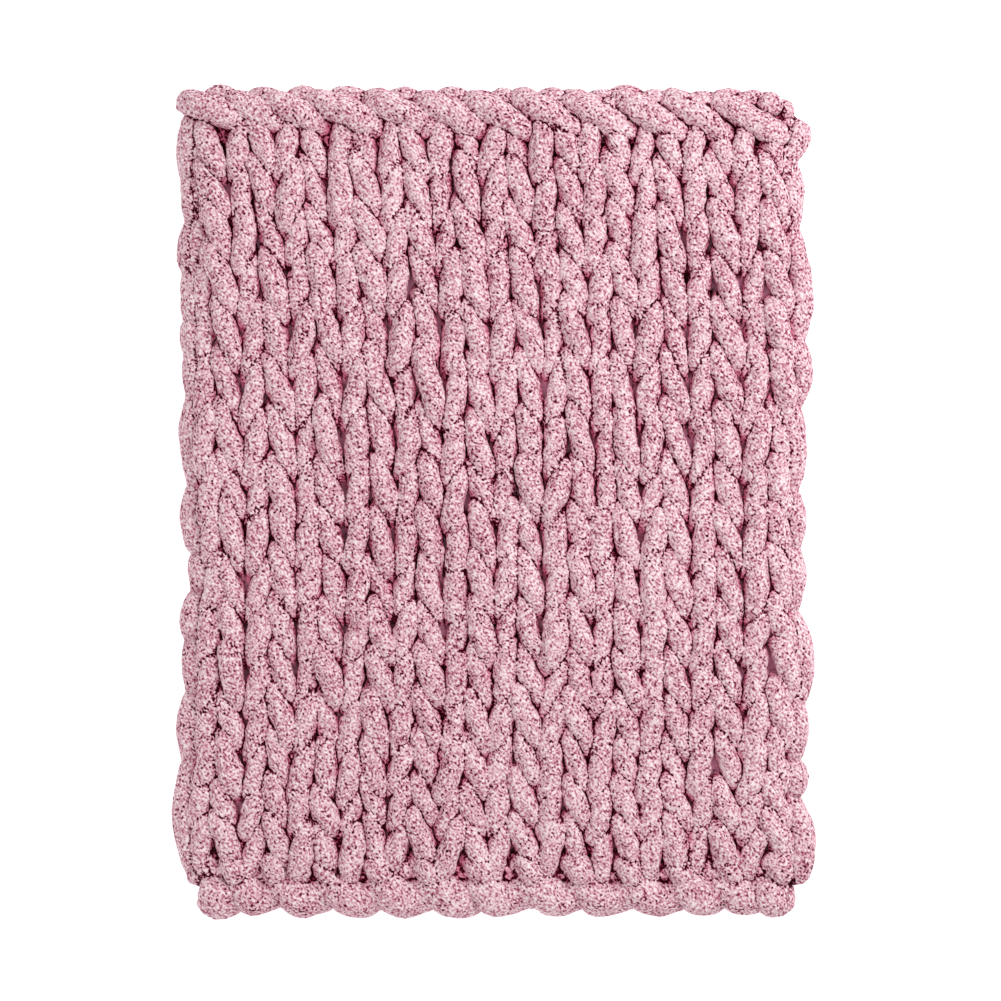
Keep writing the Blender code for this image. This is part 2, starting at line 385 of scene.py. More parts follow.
@dataclass(frozen=True)
class StockingStitch:
    """Loops of stocking stitch, worked to and fro up the blanket."""

    plan: KnitPlan
    lie: Lie
    uneven: Unevenness
    lean: float = 10.4
    lean_bias: float = 1.5
    skew: float = 4.0
    middle_height: float = 21.0
    swing: float = 9.5
    cap: float = 0.28
    stiffness: float = 2.2
    radius_shares: tuple[float, ...] = (0.0, 0.35, 0.69, 1.0)
    radii: tuple[float, ...] = (12.6, 10.2, 11.0, 11.7)
    turn_bulge: float = 12.0
    points_a_stitch: int = 96
    joint_points: int = 12

    def course(self, number: int) -> tuple[Array, Array]:
        """Flat path of one course, from the left selvage to the right.

        In each stitch a turn runs from 0 to 1. The height is minus the cosine
        of the turn plus a little of its sine, which sets the left legs above
        the right ones. The place across is the turn plus the sine of twice the
        turn, which leans the legs, and the rise is minus the cosine of twice
        the turn, flattened by a hyperbolic tangent, which puts the legs in
        front and the arcs behind. Taking a share of the sine off the turn
        there lifts the upper end of each leg over the foot of the next.

        Args:
            number: The course, 0 at the cast-on end.

        Returns:
            The points, and the yarn's radius at each.
        """
        plan, uneven = self.plan, self.uneven
        wale = np.linspace(0.0, plan.wales, plan.wales * self.points_a_stitch + 1)
        turn = TURN * wale
        lean = self.lean + self.lean_bias * np.sin(turn) + uneven.at(uneven.lean, number, wale)
        down, up = plan.reaches(number)
        tall = np.where(np.cos(turn) > 0.0, down, up) + uneven.at(uneven.tallness, number, wale)
        middle = plan.middle(number) + uneven.at(uneven.along, number, wale)
        y = middle - tall * np.cos(turn) + self.skew * np.sin(turn)
        shifted = wale + lean / plan.wale_width * np.sin(2.0 * turn)
        x = plan.across(shifted, y) + uneven.at(uneven.side, number, wale)
        leg = 0.5 - 0.5 * np.cos(2.0 * turn)
        wave = -np.cos(2.0 * turn - self.cap * np.sin(turn))
        rise = np.tanh(self.stiffness * wave) / math.tanh(self.stiffness)
        z = self.middle_height + self.swing * rise
        z = z + leg * uneven.at(uneven.height, number, wale)
        radius = np.interp(leg, self.radius_shares, self.radii)
        radius = radius * (1.0 + uneven.at(uneven.fatness, number, wale))
        return np.stack((x, y, z), axis=1), radius

    def selvage_turn(self, last: Array, first: Array, side: float) -> Array:
        """Flat path from the end of one course to the start of the next.

        It is half an ellipse that stands out from the selvage.

        Args:
            last: Where the lower course ends.
            first: Where the upper course begins.
            side: 1 at the right selvage and -1 at the left.

        Returns:
            The points between the two.
        """
        share = np.linspace(0.0, 1.0, 26)[1:-1, None]
        along = 0.5 - 0.5 * np.cos(math.pi * share)
        points = last + (first - last) * along
        points[:, 0] += side * self.turn_bulge * np.sin(math.pi * share[:, 0])
        return points

    def band(self, name: str, courses: Iterable[int], start: float) -> Strand:
        """Yarn of several courses on end, with the turns between them.

        Args:
            name: The strand's name.
            courses: The courses, from the lowest up.
            start: Distance along the yarn at which the band begins.

        Returns:
            The strand, laid down.
        """
        numbers = list(courses)
        points: list[Array] = []
        radii: list[Array] = []
        for number in numbers:
            path, radius = self.course(number)
            rightward = number % 2 == 0
            side = 1.0 if rightward else -1.0
            path = path if rightward else path[::-1]
            radius = radius if rightward else radius[::-1]
            points.append(path)
            radii.append(radius)
            if number + 1 < self.plan.courses:
                after, _ = self.course(number + 1)
                after = after[::-1] if rightward else after
                bend = self.selvage_turn(path[-1], after[0], side)
                if number == numbers[-1]:
                    bend = np.concatenate((bend, after[:self.joint_points]))
                points.append(bend)
                radii.append(np.full(len(bend), self.radii[0]))
        laid = self.lie.place(np.concatenate(points))
        return Strand(name, laid, np.concatenate(radii), start)


@dataclass(frozen=True)
class EdgeRope:
    """Yarn that winds along an end of the blanket like a rope.

    It crosses the front from the upper left to the lower right of each
    stitch, and goes back up behind.
    """

    name: str
    low_points: tuple[float, ...]
    middle_left: float
    middle_right: float
    half_width_left: float
    half_width_right: float
    slant: float
    axis_height: float
    half_depth: float
    radius: float
    ends: tuple[float, float]
    seed: int
    points_a_turn: int = 90
    tail: float = 0.14
    lowest: float = 9.0
    fatness_spread: float = 0.035
    width_spread: float = 0.10
    lift_spread: float = 1.2

    def strand(self, start: float) -> Strand:
        """Path of the rope.

        In each turn the place in width is the cosine of the turn and the
        height its sine. The place along is the turn through the measured low
        points, drawn back by the slant times half of 1 plus the cosine, so
        the yarn runs slantwise in front and straight back behind. What would
        pass the ends is left off.

        Args:
            start: Distance along the yarn at which the rope begins.

        Returns:
            The strand.
        """
        lows = np.array(self.low_points)
        count = len(lows)
        turn = np.linspace(-self.tail, count + self.tail, int((count + 0.5) * self.points_a_turn))
        known = np.concatenate(([2 * lows[0] - lows[1]], lows, [2 * lows[-1] - lows[-2]]))
        knots = np.arange(-1, count + 1) + 0.5
        place = np.interp(turn, knots, known)
        draw = np.random.default_rng(self.seed)
        wobble = draw.standard_normal((3, count + 2))
        fat = 1.0 + self.fatness_spread * np.interp(turn, knots, wobble[0])
        wide = 1.0 + self.width_spread * np.interp(turn, knots, wobble[1])
        lift = self.lift_spread * np.interp(turn, knots, wobble[2])
        angle = TURN * turn
        x = place - 0.5 * self.slant * (1.0 + np.cos(angle))
        share = (x - self.ends[0]) / (self.ends[1] - self.ends[0])
        middle = self.middle_left + (self.middle_right - self.middle_left) * share
        half = self.half_width_left + (self.half_width_right - self.half_width_left) * share
        y = middle + wide * half * np.cos(angle)
        z = self.axis_height + self.half_depth * np.sin(angle) + lift
        points = np.stack((x, y, np.maximum(z, self.lowest)), axis=1)
        kept = (x >= self.ends[0]) & (x <= self.ends[1])
        return Strand(self.name, points[kept], (self.radius * fat)[kept], start)


@dataclass(frozen=True)
class EdgeWave:
    """Yarn that runs behind a rope in one low arch a stitch."""

    name: str
    low_points: tuple[float, ...]
    middle_left: float
    middle_right: float
    arch: float
    axis_height: float
    rise: float
    radius: float
    ends: tuple[float, float]

    def strand(self, start: float) -> Strand:
        """Path of the wave, highest half way between two low points.

        Args:
            start: Distance along the yarn at which it begins.

        Returns:
            The strand.
        """
        lows = np.array(self.low_points)
        x = np.linspace(self.ends[0], self.ends[1], 900)
        known = np.concatenate(([2 * lows[0] - lows[1]], lows, [2 * lows[-1] - lows[-2]]))
        turn = np.interp(x, known, np.arange(len(known), dtype=float))
        share = (x - self.ends[0]) / (self.ends[1] - self.ends[0])
        middle = self.middle_left + (self.middle_right - self.middle_left) * share
        y = middle - self.arch * np.cos(TURN * turn)
        z = self.axis_height - self.rise * np.cos(TURN * turn)
        return Strand(self.name, np.stack((x, y, z), axis=1), np.full(len(x), self.radius), start)


@dataclass(frozen=True)
class SelvageRun:
    """Yarn that lies along a side, one long lobe for each turn of the knitting."""

    name: str
    side: float
    lobes: tuple[tuple[float, float, float], ...]
    ends: tuple[float, float]
    neck_radius: float = 10.0
    lobe_radius: float = 13.5
    neck_height: float = 10.0
    lobe_height: float = 15.0

    def strand(self, lie: Lie, start: float) -> Strand:
        """Path of the run: its outer side is the measured outline.

        The radius and the height follow the root of the sine wave of each
        lobe, so the yarn is thin and low at the notches between them.

        Args:
            lie: What the outline is measured in.
            start: Distance along the yarn at which it begins.

        Returns:
            The strand.
        """
        y = np.linspace(self.ends[0], self.ends[1], 900)
        edge, swell = lie.lobed_edge(y, self.lobes)
        full = np.sqrt(np.maximum(swell, 0.0))
        radius = self.neck_radius + (self.lobe_radius - self.neck_radius) * full
        z = self.neck_height + (self.lobe_height - self.neck_height) * full
        points = np.stack((self.side * (edge - radius), y, z), axis=1)
        return Strand(self.name, points, radius, start)


# Meshes


@dataclass(frozen=True)
class YarnSkin:
    """The surface of a strand: a tube of soft pile with domed ends."""

    name: str
    places: Array
    quads: Array
    fans: Array
    quad_uvs: Array
    fan_uvs: Array
    crevice: Array
    groove: Array
    sunk: Array
    tuft: Array

    def piece(self) -> bpy.types.Object:
        """Put the arrays into a mesh, in metres, with its place in its mesh."""
        mesh = bpy.data.meshes.new(self.name)
        corners = np.concatenate((self.quads.ravel(), self.fans.ravel()))
        sizes = np.concatenate((np.full(len(self.quads), 4), np.full(len(self.fans), 3)))
        starts = np.concatenate(([0], np.cumsum(sizes)[:-1]))
        mesh.vertices.add(len(self.places))
        mesh.vertices.foreach_set("co", (self.places * MM).astype(np.float32).ravel())
        mesh.loops.add(len(corners))
        mesh.loops.foreach_set("vertex_index", corners.astype(np.int32))
        mesh.polygons.add(len(sizes))
        mesh.polygons.foreach_set("loop_start", starts.astype(np.int32))
        mesh.update(calc_edges=True)
        mesh.shade_smooth()
        layout = mesh.uv_layers.new(name="OFBake")
        uvs = np.concatenate((self.quad_uvs.reshape(-1, 2), self.fan_uvs.reshape(-1, 2)))
        layout.uv.foreach_set("vector", uvs.astype(np.float32).ravel())
        for label in ("crevice", "groove", "sunk", "tuft"):
            layer = mesh.attributes.new(label, "FLOAT", "POINT")
            layer.data.foreach_set("value", getattr(self, label).astype(np.float32).ravel())
        piece = bpy.data.objects.new(self.name, mesh)
        bpy.context.scene.collection.objects.link(piece)
        return piece


@dataclass(frozen=True)
class HeightMap:
    """The knit side seen from above: how high it stands, evened out."""

    levels: Array
    cell: float = 2.5
    half_size: tuple[float, float] = (345.0, 440.0)

    @classmethod
    def of(cls, surfaces: list[Array], spread: int) -> "HeightMap":
        """Height map of several surfaces, each cell blurred with those round it.

        A cell holds the highest point in it. Cells with none take the
        highest of their neighbours, and a box blur runs three times each way.

        Args:
            surfaces: Points, in any shape that ends in three coordinates.
            spread: How many cells the blur reaches.

        Returns:
            The map.
        """
        half_x, half_y = cls.half_size
        shape = (int(2 * half_x / cls.cell), int(2 * half_y / cls.cell))
        levels = np.zeros(shape)
        for surface in surfaces:
            points = surface.reshape(-1, 3)
            column = ((points[:, 0] + half_x) / cls.cell).astype(int)
            row = ((points[:, 1] + half_y) / cls.cell).astype(int)
            np.maximum.at(levels, (column, row), points[:, 2])
        for axis in (0, 1):
            near = np.maximum(np.roll(levels, 1, axis), np.roll(levels, -1, axis))
            levels = np.where(levels > 0.0, levels, near)
        width = 2 * spread + 1
        for _ in range(3):
            for axis in (0, 1):
                shifted = [np.roll(levels, step, axis) for step in range(-spread, spread + 1)]
                levels = sum(shifted) / width
        return cls(levels)

    def above(self, surface: Array) -> Array:
        """How far the map stands above each point, straight between cells."""
        half_x, half_y = self.half_size
        column = (surface[..., 0] + half_x) / self.cell - 0.5
        row = (surface[..., 1] + half_y) / self.cell - 0.5
        left, low = np.floor(column).astype(int), np.floor(row).astype(int)
        along, up = column - left, row - low
        lower = self.levels[left, low] * (1.0 - along) + self.levels[left + 1, low] * along
        upper = self.levels[left, low + 1] * (1.0 - along) + self.levels[left + 1, low + 1] * along
        return lower * (1.0 - up) + upper * up - surface[..., 2]


@dataclass(frozen=True)
class Spinner:
    """Turns strands into skins, knowing where all the other yarn lies."""

    strands: tuple[Strand, ...]
    top_cells: int = 21
    base_cells: int = 7
    top_overlap: float = 0.30
    lump_depth: float = 0.60
    tuft_depth: float = 0.60
    flat_height: float = 21.0
    flat_fade: float = 8.0
    flat_width: float = 1.00
    flat_depth: float = 0.20
    touch_neighbours: int = 64
    own_stretch: float = 48.0
    near_radii: float = 3.2
    rings_at_once: int = 400
    crevice_width: float = 1.9
    groove_spread: int = 3
    groove_depth: float = 12.0
    floor_height: float = 7.0
    floor_fade: float = 10.0
    sunk_height: float = 23.0
    sunk_fade: float = 6.0
    facing_least: float = 0.35
    facing_fade: float = 0.4
    inner_half: tuple[float, float] = (282.0, 340.0)
    inner_fade: float = 12.0
    base_softness: float = 1.4
    bake_rows: int = 14

    @property
    def angles(self) -> Array:
        """Angles round the yarn, close on top and wide apart beneath."""
        low, high = -self.top_overlap, math.pi + self.top_overlap
        top = np.linspace(low, high, self.top_cells + 1)[:-1]
        base = np.linspace(high, TURN + low, self.base_cells + 1)[:-1]
        return np.concatenate((top, base))

    @staticmethod
    def _blurred(noise: Array, along: int, around: int) -> Array:
        """Noise averaged with its neighbours and brought back to unit spread."""
        for _ in range(along):
            padded = np.concatenate((noise[:1], noise, noise[-1:]))
            noise = 0.25 * padded[:-2] + 0.5 * noise + 0.25 * padded[2:]
        for _ in range(around):
            noise = 0.25 * np.roll(noise, 1, 1) + 0.5 * noise + 0.25 * np.roll(noise, -1, 1)
        return noise / noise.std()

    def _ways(self, strand: Strand) -> tuple[Array, Array]:
        """Sideways and upward directions across the yarn at each point.

        The side is the run of the yarn crossed with the vertical, and up is
        the side crossed with the run.
        """
        run = np.gradient(strand.points, axis=0)
        run = run / np.linalg.norm(run, axis=1, keepdims=True)
        side = np.stack((run[:, 1], -run[:, 0], np.zeros(len(run))), axis=1)
        side = side / np.linalg.norm(side, axis=1, keepdims=True)
        return side, np.cross(side, run)

    def _gaps(self, strand: Strand, surface: Array) -> Array:
        """Distance from each point of the surface to the nearest other yarn.

        Yarn within a short stretch of the same point is left out. For each
        ring the nearest few points of yarn are found, and each point of the
        ring measures to those.

        Args:
            strand: The strand whose surface it is.
            surface: Its points, ring by ring.

        Returns:
            The distances, less than 0 inside other yarn.
        """
        reach = self.near_radii * float(strand.radius.max())
        low = strand.points[:, 1].min() - reach
        high = strand.points[:, 1].max() + reach
        centres = np.concatenate([item.points for item in self.strands])
        radii = np.concatenate([item.radius for item in self.strands])
        travelled = np.concatenate([item.travelled for item in self.strands])
        near = (centres[:, 1] > low) & (centres[:, 1] < high)
        centres, radii, travelled = centres[near], radii[near], travelled[near]
        gaps = np.empty(surface.shape[:2])
        own = strand.travelled
        for first in range(0, len(own), self.rings_at_once):
            rows = slice(first, first + self.rings_at_once)
            apart = ((strand.points[rows, None, :] - centres[None]) ** 2).sum(axis=2)
            apart[np.abs(own[rows, None] - travelled[None]) < self.own_stretch] = np.inf
            nearest = np.argpartition(apart, self.touch_neighbours, axis=1)
            nearest = nearest[:, :self.touch_neighbours]
            away = surface[rows, :, None, :] - centres[nearest][:, None, :, :]
            distance = np.sqrt((away ** 2).sum(axis=3)) - radii[nearest][:, None, :]
            gaps[rows] = distance.min(axis=2)
        return gaps

    def _inside(self, points: Array) -> Array:
        """1 away from the edges of the blanket, 0 at them."""
        half_x, half_y = self.inner_half
        across = smooth_step((half_x - np.abs(points[..., 0])) / self.inner_fade)
        along = smooth_step((half_y - np.abs(points[..., 1])) / self.inner_fade)
        return across * along

    def _sunk(self, surface: Array, facing: Array) -> Array:
        """How deep in the knitting each point lies, from 0 to 1.

        It is 1 low down on the upper side of the yarn, away from the edges
        of the blanket, where only the gaps between stitches show it. The finish
        paints these points a flat mauve as painted shade.
        """
        depth = 1.0 - smooth_step((surface[..., 2] - self.sunk_height) / self.sunk_fade)
        upper = smooth_step((facing - self.facing_least) / self.facing_fade)
        return depth * self._inside(surface) * upper

    def _uvs(self, strand: Strand, around: int) -> tuple[Array, Array]:
        """Unrolled layout of the skin, in rows that don't overlap.

        A face's place along is the yarn's distance within its row, and its
        place up is the share of the way round.

        Args:
            strand: The strand.
            around: Cells round the yarn.

        Returns:
            Corners of the quads and of the two fans of end faces.
        """
        rings = len(strand.points)
        travelled = strand.travelled - strand.start
        a_row = math.ceil((rings - 1) / self.bake_rows)
        cell = np.arange(rings - 1)
        row = cell // a_row
        row_start = travelled[row * a_row]
        row_end = travelled[np.minimum((np.arange(self.bake_rows) + 1) * a_row, rings - 1)]
        row_begin = travelled[np.minimum(np.arange(self.bake_rows) * a_row, rings - 1)]
        longest = (row_end - row_begin).max()
        left = 0.01 + 0.98 * (travelled[:-1] - row_start) / longest
        right = 0.01 + 0.98 * (travelled[1:] - row_start) / longest
        share = np.arange(around + 1) / around
        low = (row[:, None] + 0.04 + 0.92 * share[None, :-1]) / self.bake_rows
        high = (row[:, None] + 0.04 + 0.92 * share[None, 1:]) / self.bake_rows
        left = np.broadcast_to(left[:, None], low.shape)
        right = np.broadcast_to(right[:, None], low.shape)
        corners = ((left, low), (right, low), (right, high), (left, high))
        quads = np.stack([np.stack(pair, axis=-1) for pair in corners], axis=2)
        middle = 0.5 * (share[:-1] + share[1:])
        fans = []
        for index, shift, order in ((0, -0.006, 1), (rings - 2, 0.006, -1)):
            edge = left[0, 0] if index == 0 else right[-1, 0]
            lower = (row[index] + 0.04 + 0.92 * share[:-1]) / self.bake_rows
            upper = (row[index] + 0.04 + 0.92 * share[1:]) / self.bake_rows
            pole = (row[index] + 0.04 + 0.92 * middle) / self.bake_rows
            tip = np.stack((np.full(around, edge + shift), pole), axis=-1)
            first = np.stack((np.full(around, edge), lower), axis=-1)
            second = np.stack((np.full(around, edge), upper), axis=-1)
            pair = (first, second) if order == 1 else (second, first)
            fans.append(np.stack((tip, *pair), axis=1))
        return quads.reshape(-1, 4, 2), np.concatenate(fans)

    def pile(self, strand: Strand, seed: int) -> tuple[Array, Array]:
        """Surface of one strand: a ring of pile round each of its points.

        A ring's point is the yarn's point plus the radius times the cosine
        of its angle sideways and the sine upwards. Lumps and tufts add to
        the radius. Yarn low in the knitting is squashed, wider and less
        high. Below the resting surface the skin is pressed flat.

        Args:
            strand: The strand.
            seed: What its pile is drawn from.

        Returns:
            The points, ring by ring, and how far each tuft stands out.
        """
        angles = self.angles
        rings, around = len(strand.points), len(angles)
        draw = np.random.default_rng(seed)
        lumps = self._blurred(draw.standard_normal((rings, around)), 9, 5)
        tufts = self._blurred(draw.standard_normal((rings, around)), 1, 1)
        side, up = self._ways(strand)
        bulk = strand.radius / strand.radius.max()
        relief = (self.lump_depth * lumps + self.tuft_depth * tufts) * bulk[:, None]
        reach = (strand.radius[:, None] + relief)[..., None]
        squash = smooth_step((self.flat_height - strand.points[:, 2]) / self.flat_fade)
        squash = (squash * self._inside(strand.points))[:, None, None]
        sideways = (1.0 + self.flat_width * squash) * np.cos(angles)[None, :, None]
        upwards = (1.0 - self.flat_depth * squash) * np.sin(angles)[None, :, None]
        spoke = sideways * side[:, None] + upwards * up[:, None]
        surface = strand.points[:, None, :] + reach * spoke
        level = surface[..., 2]
        surface[..., 2] = 0.5 * (level + np.sqrt(level ** 2 + self.base_softness ** 2))
        return surface, tufts

    def skins(self, seed: int) -> list[YarnSkin]:
        """Skins of all the strands.

        Args:
            seed: What the first strand's pile is drawn from.

        Returns:
            One skin a strand, in order.
        """
        piles = [self.pile(strand, seed + number) for number, strand in enumerate(self.strands)]
        relief = HeightMap.of([surface for surface, _ in piles], self.groove_spread)
        return [
            self.skin(strand, surface, tufts, relief)
            for strand, (surface, tufts) in zip(self.strands, piles)
        ]

    def skin(self, strand: Strand, surface: Array, tufts: Array, relief: HeightMap) -> YarnSkin:
        """Closed mesh of one strand, with what its finish needs to know.

        Args:
            strand: The strand.
            surface: Its points, ring by ring.
            tufts: How far each tuft stands out.
            relief: Height of the knit side round about.

        Returns:
            The skin.
        """
        rings, around = tufts.shape
        upward = smooth_step(0.7 + np.sin(self.angles))[None]
        gaps = self._gaps(strand, surface)
        # Near other yarn; the finish paints shade there.
        crevice = np.exp(-((np.maximum(gaps, 0.0) / self.crevice_width) ** 2))
        # How far an upward face lies below the crest round about; the finish paints shade there.
        off_floor = smooth_step((surface[..., 2] - self.floor_height) / self.floor_fade)
        below_crest = np.clip(relief.above(surface) / self.groove_depth, 0.0, 1.0)
        groove = upward * off_floor * below_crest
        # Low in the gaps between stitches; the finish paints shade there.
        sunk = self._sunk(surface, np.sin(self.angles)[None])
        ring = np.arange(rings - 1)[:, None] * around
        cell = np.arange(around)[None]
        after = (cell + 1) % around
        ahead = ring + around
        quads = np.stack((ring + cell, ahead + cell, ahead + after, ring + after), axis=2)
        head = np.full(around, rings * around)
        last_ring = (rings - 1) * around
        first = np.stack((head, cell[0], after[0]), axis=1)
        last = np.stack((head + 1, last_ring + after[0], last_ring + cell[0]), axis=1)
        quad_uvs, fan_uvs = self._uvs(strand, around)
        ends = surface[[0, -1]].mean(axis=1)
        return YarnSkin(
            name=strand.name,
            places=np.concatenate((surface.reshape(-1, 3), ends)),
            quads=quads.reshape(-1, 4),
            fans=np.concatenate((first, last)),
            quad_uvs=quad_uvs,
            fan_uvs=fan_uvs,
            crevice=np.concatenate((crevice.ravel(), [0.0, 0.0])),
            groove=np.concatenate((groove.ravel(), [0.0, 0.0])),
            sunk=np.concatenate((sunk.ravel(), [0.0, 0.0])),
            tuft=np.concatenate((tufts.ravel(), [0.0, 0.0])),
        )


# Shader maths


class Wire:
    """A number that a shader works out, written as a Python value."""

    def __init__(self, board: "Board", socket: Any) -> None:
        """Keep the board that the number is on and the socket it leaves by."""
        self.board = board
        self.socket = socket

    def _with(self, operation: str, first: Any, second: Any) -> "Wire":
        """The result of a Math node on two values."""
        node = self.board.add("ShaderNodeMath", {"operation": operation}, {0: first, 1: second})
        return Wire(self.board, node.outputs[0])

    def __add__(self, other: Any) -> "Wire":
        """This number plus another."""
        return self._with("ADD", self, other)

    __radd__ = __add__

    def __sub__(self, other: Any) -> "Wire":
        """This number less another."""
        return self._with("SUBTRACT", self, other)

    def __rsub__(self, other: Any) -> "Wire":
        """Another number less this one."""
        return self._with("SUBTRACT", other, self)

    def __mul__(self, other: Any) -> "Wire":
        """This number times another."""
        return self._with("MULTIPLY", self, other)

    __rmul__ = __mul__

    def smooth(self, low: float, high: float) -> "Wire":
        """0 up to low, 1 from high, and a soft rise between them."""
        settings = {"interpolation_type": "SMOOTHSTEP"}
        values = {"Value": self, "From Min": low, "From Max": high}
        node = self.board.add("ShaderNodeMapRange", settings, values)
        return Wire(self.board, node.outputs["Result"])


class Board:
    """The nodes of one material."""

    def __init__(self, material: bpy.types.Material) -> None:
        """Clear the material's nodes and begin anew."""
        material.use_nodes = True
        self.tree = material.node_tree
        self.tree.nodes.clear()

    def add(self, kind: str, settings: dict[str, Any], values: dict[Any, Any]) -> Any:
        """Add a node, set it, then give or link its sockets.

        Args:
            kind: The node's type.
            settings: What is set on the node itself, before its sockets.
            values: For each socket, by name or number, a value or a link.

        Returns:
            The node.
        """
        node = self.tree.nodes.new(kind)
        for label, setting in settings.items():
            if label == "stops":
                self._fill_ramp(node, setting)
            else:
                setattr(node, label, setting)
        for label, value in values.items():
            source = value.socket if isinstance(value, Wire) else value
            if isinstance(source, bpy.types.NodeSocket):
                self.tree.links.new(source, node.inputs[label])
            else:
                node.inputs[label].default_value = source
        return node

    def attribute(self, name: str) -> Wire:
        """A number stored on the mesh."""
        node = self.add("ShaderNodeAttribute", {"attribute_name": name}, {})
        return Wire(self, node.outputs["Fac"])

    def noise(self, place: Any, size: float, detail: float, swirl: float = 0.0) -> Wire:
        """Cloudy noise with clouds of a size in metres, swirled if asked."""
        values = {"Vector": place, "Scale": 1.0 / size, "Detail": detail, "Distortion": swirl}
        node = self.add("ShaderNodeTexNoise", {}, values)
        return Wire(self, node.outputs["Fac"])

    def cells(self, place: Any, size: float) -> Wire:
        """Distance, in cells, from the nearest of points scattered one a cell."""
        values = {"Vector": place, "Scale": 1.0 / size}
        node = self.add("ShaderNodeTexVoronoi", {"feature": "F1"}, values)
        return Wire(self, node.outputs["Distance"])

    @staticmethod
    def _fill_ramp(node: Any, stops: Iterable[tuple[float, Any]]) -> None:
        """Give a colour ramp its stops, each a place and a colour."""
        elements = node.color_ramp.elements
        for number, (place, colour) in enumerate(stops):
            element = elements[number] if number < 2 else elements.new(place)
            element.position = place
            element.color = colour

    def blend(self, share: Any, under: Any, over: Any, way: str = "MIX") -> Any:
        """Mix a colour with another by a share, or multiply it by another."""
        values = {0: share, 6: under, 7: over}
        node = self.add("ShaderNodeMix", {"data_type": "RGBA", "blend_type": way}, values)
        return node.outputs[2]


def tint(red: float, green: float, blue: float) -> tuple[float, float, float, float]:
    """A solid colour."""
    return (red, green, blue, 1.0)


@dataclass(frozen=True)
class ChenilleFinish:
    """Cut pile of dusty pink chenille, pale at its tips and dark at its roots: its own mottle, with
    painted shade at the roots and a painted sheen at the tips.
    """

    name: str = "chenille_pile"
    # Burgundy roots to pale tips: the pile's own mottle, with painted shade at the dark end and a
    # painted sheen at the pale end.
    shades: tuple[tuple[float, tuple[float, float, float, float]], ...] = (
        (0.00, tint(0.030, 0.001, 0.006)),
        (0.10, tint(0.060, 0.004, 0.012)),
        (0.22, tint(0.203, 0.030, 0.062)),
        (0.34, tint(0.402, 0.130, 0.190)),
        (0.53, tint(0.625, 0.350, 0.410)),
        (0.71, tint(0.755, 0.535, 0.582)),
        (0.92, tint(0.865, 0.735, 0.768)),
    )
    # Painted shade: a deep rose multiplied into the colour low in the grooves.
    groove_shade_tint: tuple[float, float, float, float] = tint(1.02, 0.46, 0.64)
    # Painted shade: a flat mauve for yarn deep in the gaps between stitches.
    hollow_shade: tuple[float, float, float, float] = tint(0.920, 0.400, 0.590)
    grain_size: float = 0.0020
    grain_swirl: float = 0.3
    grain_stretch: float = 1.25
    bobble_size: float = 0.0030
    speck_size: float = 0.0046
    patch_size: float = 0.014
    tone_size: float = 0.11
    bump_depth: float = 0.0004
    bump_strength: float = 0.8
    middle_shade: float = 0.57
    bobble_weight: float = 0.35
    grain_weight: float = 1.2
    patch_weight: float = 0.24
    tuft_weight: float = 0.020
    tone_weight: float = 0.14
    groove_shade_weight: float = 0.08
    crevice_shade_weight: float = 0.48
    spot_weight: float = 0.42
    hollow_shade_share: float = 0.92
    roughness: float = 0.92
    specular: float = 0.04

    def material(self) -> bpy.types.Material:
        """Build the material.

        Returns:
            The pile: grain that runs from burgundy roots to nearly white
            tips, its own mottle with painted shade at the roots and a painted
            sheen at the tips, patches where it is thin, painted shade in the
            crevices and grooves between strands and a flat mauve of painted
            shade in the gaps.
        """
        material = bpy.data.materials.new(self.name)
        board = Board(material)
        place = board.add("ShaderNodeTexCoord", {}, {}).outputs["Object"]
        slanted = board.add(
            "ShaderNodeMapping",
            {"vector_type": "TEXTURE"},
            {
                "Vector": place,
                "Rotation": (0.0, 0.0, -math.pi / 4),
                "Scale": (self.grain_stretch, 1.0, 1.0),
            },
        )
        grain = board.noise(slanted.outputs["Vector"], self.grain_size, 0.0, self.grain_swirl)
        bobble = board.cells(slanted.outputs["Vector"], self.bobble_size)
        patch = board.noise(place, self.patch_size, 2.0)
        speck = board.cells(place, self.speck_size)
        tone = board.noise(place, self.tone_size, 1.0)
        stored = board.attribute("tuft")
        crevice = board.attribute("crevice")
        sunk = board.attribute("sunk")
        # How far the yarn lies below the crest round about, which drives painted shade.
        deep = board.attribute("groove").smooth(0.00, 0.55)
        # Higher pile and taller tufts come out paler, lower pile darker: the yarn's mottle plus
        # painted sheen and painted shade.
        pile = self.bobble_weight * (0.54 - bobble) + self.grain_weight * (grain - 0.5)
        thin = self.patch_weight * (patch - 0.5)
        raised = self.middle_shade + pile + thin + self.tuft_weight * stored
        # Painted shade: dark lines where the yarn comes close to other yarn, heavier low in a
        # groove.
        crevice_shade = (crevice * (0.62 + 0.50 * deep) - 0.40 * pile).smooth(0.38, 0.78)
        spot = (0.25 - speck + 0.5 * (0.5 - patch)).smooth(0.0, 0.10)
        # Painted shade: the colour goes darker low in the grooves and in the crevices; tone and
        # specks are the pile's own.
        shade = raised + self.tone_weight * (tone - 0.5) - self.groove_shade_weight * deep
        shade = shade - self.crevice_shade_weight * crevice_shade - self.spot_weight * spot
        ramp = board.add("ShaderNodeValToRGB", {"stops": self.shades}, {"Fac": shade})
        # Painted shade: deep rose multiplied in low in the grooves.
        colour = board.blend(deep, ramp.outputs["Color"], self.groove_shade_tint, "MULTIPLY")
        # Painted shade: flat mauve where the yarn lies deep in the gaps.
        colour = board.blend(sunk * self.hollow_shade_share, colour, self.hollow_shade)
        bump = board.add(
            "ShaderNodeBump",
            {},
            {"Strength": self.bump_strength, "Distance": self.bump_depth, "Height": raised},
        )
        shader = board.add(
            "ShaderNodeBsdfPrincipled",
            {},
            {
                "Base Color": colour,
                "Roughness": self.roughness,
                "Normal": bump.outputs["Normal"],
                "Specular IOR Level": self.specular,
            },
        )
        board.add("ShaderNodeOutputMaterial", {}, {"Surface": shader.outputs["BSDF"]})
        return material


# The pieces


